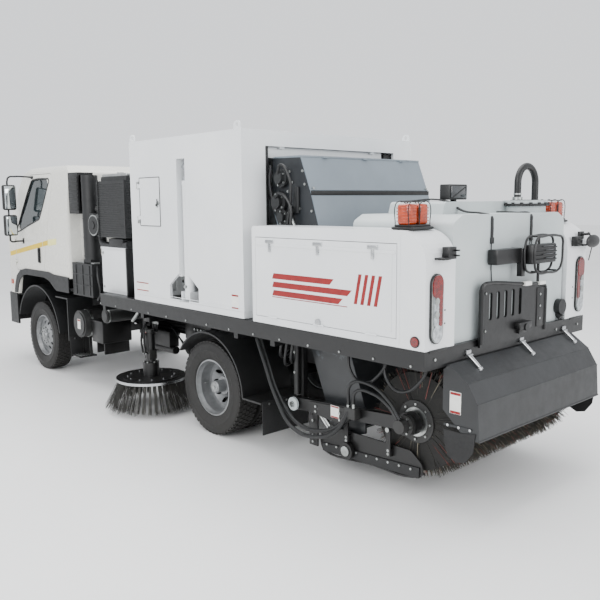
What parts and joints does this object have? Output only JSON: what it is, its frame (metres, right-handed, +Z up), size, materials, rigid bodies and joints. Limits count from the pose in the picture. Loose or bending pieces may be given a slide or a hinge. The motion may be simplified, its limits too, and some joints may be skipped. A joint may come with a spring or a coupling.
{
  "type": "street sweeper truck",
  "caption": "Cab-over street sweeper truck with a side-tipping high-dump hopper, inclined conveyor, water tank, rear main broom and side gutter brooms.",
  "frame": {"origin": "on the ground, under the middle of the overall length and width", "axes": "+X forward, +Y to the vehicle's left, +Z up"},
  "size_m": [8.55, 3.1, 3.165],
  "materials": {
    "chassis_paint": "satin black chassis paint",
    "white_paint": "gloss white body paint",
    "cab_paint": "gloss off-white cab paint",
    "grey_paint": "satin dark grey paint",
    "engine_iron": "painted cast iron",
    "tyre_rubber": "vulcanised rubber",
    "rim_steel": "silver wheel paint",
    "glass": "tinted safety glass",
    "black_plastic": "grained black moulding",
    "trim_plastic": "grained grey moulding",
    "tank_poly": "natural rotomoulded polyethylene",
    "hose_rubber": "ribbed rubber hose",
    "lens_plastic": "moulded red lens",
    "ram_steel": "ground and plated ram tube",
    "bristle": "polypropylene bristle",
    "wire_bristle": "flat steel wire bristle"
  },
  "bodies": {
    "chassis": {"chassis_frame": "chassis_paint", "body_subframe": "chassis_paint", "axles": "chassis_paint", "engines": "engine_iron", "chassis_tanks": "white_paint", "front_bumper": "black_plastic", "mudguards": "black_plastic", "cooler_pack": "chassis_paint", "air_intake": "black_plastic", "equipment_cabinet": "white_paint", "conveyor": "grey_paint", "side_housings": "white_paint", "water_tank": "tank_poly", "fill_hose": "hose_rubber", "lamps": "lens_plastic", "broom_hood": "grey_paint"},
    "steer_left": {"knuckle_left": "chassis_paint"},
    "steer_right": {"knuckle_right": "chassis_paint"},
    "wheel_front_left": {"front_tyre_left": "tyre_rubber", "front_rim_left": "rim_steel"},
    "wheel_front_right": {"front_tyre_right": "tyre_rubber", "front_rim_right": "rim_steel"},
    "wheels_rear_left": {"rear_tyres_left": "tyre_rubber", "rear_rims_left": "rim_steel"},
    "wheels_rear_right": {"rear_tyres_right": "tyre_rubber", "rear_rims_right": "rim_steel"},
    "cab": {"cab_shell": "cab_paint", "cab_hinges": "cab_paint", "windscreen": "glass", "cab_interior": "trim_plastic"},
    "steering": {"steering_wheel": "black_plastic"},
    "left_door": {"door_left": "cab_paint", "door_glass_left": "glass", "mirrors_left": "black_plastic"},
    "right_door": {"door_right": "cab_paint", "door_glass_right": "glass", "mirrors_right": "black_plastic"},
    "scissor_outer": {"lift_arms_outer": "chassis_paint"},
    "scissor_inner": {"lift_arms_inner": "chassis_paint"},
    "platform": {"lift_platform": "white_paint"},
    "hopper_box": {"hopper": "white_paint"},
    "hopper_dump_door": {"dump_door": "white_paint"},
    "hopper_hatch": {"inspection_door": "white_paint"},
    "ram_barrel": {"tilt_barrel": "white_paint"},
    "ram_stage": {"tilt_stage": "ram_steel"},
    "ram_rod": {"tilt_rod": "ram_steel"},
    "left_flap": {"flap_left": "white_paint"},
    "right_flap": {"flap_right": "white_paint"},
    "broom_frame": {"broom_arms": "chassis_paint"},
    "rear_broom": {"main_broom": "bristle"},
    "left_arm": {"gutter_arm_left": "chassis_paint"},
    "left_gutter_broom": {"gutter_broom_left": "wire_bristle"},
    "right_arm": {"gutter_arm_right": "chassis_paint"},
    "right_gutter_broom": {"gutter_broom_right": "wire_bristle"}
  },
  "joints": [
    {"name": "steer_left", "type": "hinge", "parent": "chassis", "child": "steer_left", "pos_m": [3.145, 0.73, 0.498], "axis": [0, 0, 1], "range_deg": [-35, 35]},
    {"name": "steer_right", "type": "hinge", "parent": "chassis", "child": "steer_right", "pos_m": [3.145, -0.73, 0.498], "axis": [0, 0, 1], "range_deg": [-35, 35]},
    {"name": "spin_front_left", "type": "hinge", "parent": "steer_left", "child": "wheel_front_left", "pos_m": [3.145, 0.92, 0.498], "axis": [0, 1, 0], "continuous": true},
    {"name": "spin_front_right", "type": "hinge", "parent": "steer_right", "child": "wheel_front_right", "pos_m": [3.145, -0.92, 0.498], "axis": [0, 1, 0], "continuous": true},
    {"name": "spin_rear_left", "type": "hinge", "parent": "chassis", "child": "wheels_rear_left", "pos_m": [-1.085, 0.945, 0.498], "axis": [0, 1, 0], "continuous": true},
    {"name": "spin_rear_right", "type": "hinge", "parent": "chassis", "child": "wheels_rear_right", "pos_m": [-1.085, -0.945, 0.498], "axis": [0, 1, 0], "continuous": true},
    {"name": "cab_tilt", "type": "hinge", "parent": "chassis", "child": "cab", "pos_m": [4.183, 0, 1.053], "axis": [0, 1, 0], "range_deg": [0, 45]},
    {"name": "steering_wheel_turn", "type": "hinge", "parent": "cab", "child": "steering", "pos_m": [3.655, 0.56, 2.06], "axis": [-0.5736, 0, 0.8192], "range_deg": [-640, 640]},
    {"name": "door_left_swing", "type": "hinge", "parent": "cab", "child": "left_door", "pos_m": [3.8, 1.13, 2], "axis": [0, 0, -1], "range_deg": [0, 70]},
    {"name": "door_right_swing", "type": "hinge", "parent": "cab", "child": "right_door", "pos_m": [3.8, -1.13, 2], "axis": [0, 0, 1], "range_deg": [0, 70]},
    {"name": "hopper_lift", "type": "hinge", "parent": "chassis", "child": "scissor_outer", "pos_m": [0.05, 0, 1.262], "axis": [0, 1, 0], "range_deg": [0, 53.88]},
    {"name": "scissor_cross", "type": "hinge", "parent": "scissor_outer", "child": "scissor_inner", "pos_m": [-0.79149, 0, 1.382], "axis": [0, 1, 0], "range_deg": [-107.87, 0]},
    {"name": "platform_level", "type": "hinge", "parent": "scissor_inner", "child": "platform", "pos_m": [0.05, 0, 1.502], "axis": [0, 1, 0], "range_deg": [0, 53.98]},
    {"name": "hopper_tip", "type": "hinge", "parent": "platform", "child": "hopper_box", "pos_m": [-0.8675, -1.234, 1.4], "axis": [1, 0, 0], "range_deg": [0, 50]},
    {"name": "dump_door_swing", "type": "hinge", "parent": "hopper_box", "child": "hopper_dump_door", "pos_m": [-0.8675, -1.234, 2.88], "axis": [-1, 0, 0], "range_deg": [0, 95]},
    {"name": "hatch_swing", "type": "hinge", "parent": "hopper_box", "child": "hopper_hatch", "pos_m": [-0.043, 1.23, 2.435], "axis": [0, 0, -1], "range_deg": [0, 110]},
    {"name": "ram_lean", "type": "hinge", "parent": "platform", "child": "ram_barrel", "pos_m": [-0.871, 1.14, 1.465], "axis": [1, 0, 0], "range_deg": [0, 35.95]},
    {"name": "ram_stage_slide", "type": "slide", "parent": "ram_barrel", "child": "ram_stage", "axis": [0, 0, 1], "range_m": [0, 0.9714]},
    {"name": "ram_rod_slide", "type": "slide", "parent": "ram_stage", "child": "ram_rod", "axis": [0, 0, 1], "range_m": [0, 0.9714]},
    {"name": "flap_left_drop", "type": "hinge", "parent": "chassis", "child": "left_flap", "pos_m": [-2.878, 1.229, 1.402], "axis": [-1, 0, 0], "range_deg": [0, 90]},
    {"name": "flap_right_drop", "type": "hinge", "parent": "chassis", "child": "right_flap", "pos_m": [-2.878, -1.229, 1.402], "axis": [1, 0, 0], "range_deg": [0, 90]},
    {"name": "broom_lift", "type": "hinge", "parent": "chassis", "child": "broom_frame", "pos_m": [-2.315, 0, 0.57], "axis": [0, 1, 0], "range_deg": [-7.8, 0]},
    {"name": "spin_main_broom", "type": "hinge", "parent": "broom_frame", "child": "rear_broom", "pos_m": [-3.625, 0, 0.66], "axis": [0, 1, 0], "continuous": true},
    {"name": "gutter_swing_left", "type": "hinge", "parent": "chassis", "child": "left_arm", "pos_m": [0.95, 0.6, 0.86], "axis": [0, 0, -1], "range_deg": [0, 22]},
    {"name": "spin_gutter_left", "type": "hinge", "parent": "left_arm", "child": "left_gutter_broom", "pos_m": [0.205, 1, 0.39], "axis": [0, 0, 1], "continuous": true},
    {"name": "gutter_swing_right", "type": "hinge", "parent": "chassis", "child": "right_arm", "pos_m": [0.95, -0.6, 0.86], "axis": [0, 0, 1], "range_deg": [0, 22]},
    {"name": "spin_gutter_right", "type": "hinge", "parent": "right_arm", "child": "right_gutter_broom", "pos_m": [0.205, -1, 0.39], "axis": [0, 0, 1], "continuous": true}
  ],
  "couplings": [
    {"joint": "steer_right", "follows": "steer_left", "ratio": 1},
    {"joint": "steering_wheel_turn", "follows": "steer_left", "ratio": 18},
    {"joint": "scissor_cross", "follows": "hopper_lift", "ratio": -2},
    {"joint": "platform_level", "follows": "hopper_lift", "ratio": 1},
    {"joint": "ram_lean", "follows": "hopper_tip", "ratio": 0.71705},
    {"joint": "ram_stage_slide", "follows": "hopper_tip", "m_per_rad": 1.112},
    {"joint": "ram_rod_slide", "follows": "hopper_tip", "m_per_rad": 1.112}
  ]
}
